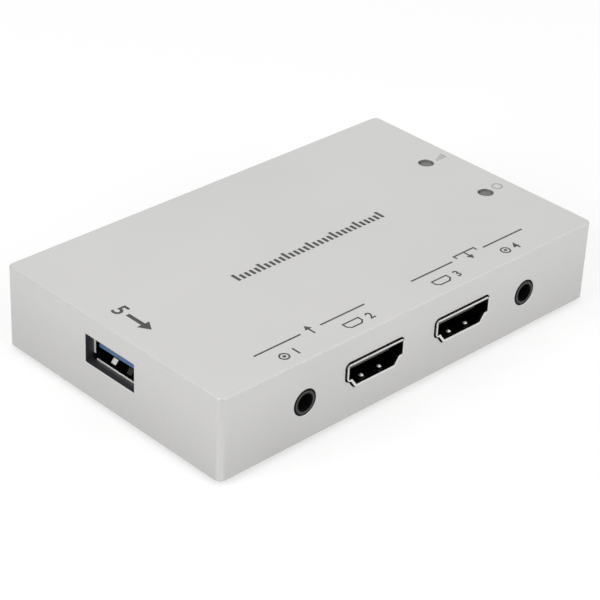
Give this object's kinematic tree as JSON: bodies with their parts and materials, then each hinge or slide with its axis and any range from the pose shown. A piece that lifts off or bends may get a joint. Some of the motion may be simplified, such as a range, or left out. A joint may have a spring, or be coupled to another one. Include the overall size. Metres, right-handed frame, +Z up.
{
  "type": "video capture box",
  "caption": "Flat metal box that captures video, with two video sockets and two audio jacks on one long side, a data socket on one end and two indicator lamps on top.",
  "frame": {"origin": "on the surface that the feet stand on, under the middle of the case", "axes": "+X along the case, away from the data socket; -Y is the long face with the audio jacks and the video sockets; +Z up"},
  "size_m": [0.1, 0.0613, 0.0185],
  "materials": {
    "anodised_case": "bead-blasted, clear anodised",
    "base_plate": "clear anodised sheet",
    "screw_steel": "nickel plated",
    "foot_rubber": "soft black rubber",
    "insulating_film": "matt black film",
    "board_laminate": "green solder mask",
    "socket_shell": "nickel plated sheet",
    "socket_black": "moulded, matt",
    "socket_blue": "moulded, satin",
    "contact_metal": "gold plated",
    "light_pipe": "frosted clear moulding",
    "lamp_body": "white package",
    "chip_black": "moulded, matt",
    "thermal_tape": "grey tape",
    "heatsink": "black anodised",
    "inductor_grey": "pressed powder",
    "can_metal": "drawn can",
    "crystal_metal": "plated lid",
    "capacitor_tan": "fired body"
  },
  "bodies": {
    "case": {"upper_case": "anodised_case", "base_plate": "base_plate", "base_screws": "screw_steel", "board_screws": "screw_steel", "insulating_sheet": "insulating_film", "main_board": "board_laminate", "data_shell": "socket_shell", "data_insulator": "socket_blue", "data_base_block": "socket_black", "data_contacts": "contact_metal", "capture_chip": "chip_black", "receiver_chip": "chip_black", "controller_chip": "chip_black", "memory_chip_1": "chip_black", "memory_chip_2": "chip_black", "audio_chip": "chip_black", "flash_chip": "chip_black", "thermal_tape": "thermal_tape", "heatsink": "heatsink", "regulator_chips": "chip_black", "inductors": "inductor_grey", "chip_capacitors": "capacitor_tan", "resistors": "chip_black", "protection_chips": "chip_black", "video_crystal": "crystal_metal", "data_crystal": "crystal_metal", "front_left_foot": "foot_rubber", "front_right_foot": "foot_rubber", "rear_left_foot": "foot_rubber", "rear_right_foot": "foot_rubber", "video_in_shell": "socket_shell", "video_in_insulator": "socket_black", "video_in_contacts": "contact_metal", "audio_in_body": "socket_black", "audio_in_pins": "contact_metal", "video_out_shell": "socket_shell", "video_out_insulator": "socket_black", "video_out_contacts": "contact_metal", "audio_out_body": "socket_black", "audio_out_pins": "contact_metal", "power_light_pipe": "light_pipe", "power_lamp": "lamp_body", "signal_light_pipe": "light_pipe", "signal_lamp": "lamp_body", "can_capacitor_1": "can_metal", "can_capacitor_2": "can_metal", "can_capacitor_3": "can_metal"},
    "audio_in_tip_leaf": {"audio_in_tip_spring": "contact_metal"},
    "audio_in_ring_leaf": {"audio_in_ring_spring": "contact_metal"},
    "audio_out_tip_leaf": {"audio_out_tip_spring": "contact_metal"},
    "audio_out_ring_leaf": {"audio_out_ring_spring": "contact_metal"}
  },
  "joints": [
    {"name": "audio_in_tip_spread", "type": "hinge", "parent": "case", "child": "audio_in_tip_leaf", "pos_m": [-0.0267, -0.025, 0.00924], "axis": [0, 0, -1], "range_deg": [0, 4], "stiffness_Nm_per_rad": 0.27},
    {"name": "audio_in_ring_spread", "type": "hinge", "parent": "case", "child": "audio_in_ring_leaf", "pos_m": [-0.0321, -0.017, 0.00924], "axis": [0, 0, -1], "range_deg": [0, 5], "stiffness_Nm_per_rad": 0.27},
    {"name": "audio_out_tip_spread", "type": "hinge", "parent": "case", "child": "audio_out_tip_leaf", "pos_m": [0.0333, -0.025, 0.00924], "axis": [0, 0, -1], "range_deg": [0, 4], "stiffness_Nm_per_rad": 0.27},
    {"name": "audio_out_ring_spread", "type": "hinge", "parent": "case", "child": "audio_out_ring_leaf", "pos_m": [0.0279, -0.017, 0.00924], "axis": [0, 0, -1], "range_deg": [0, 5], "stiffness_Nm_per_rad": 0.27}
  ]
}
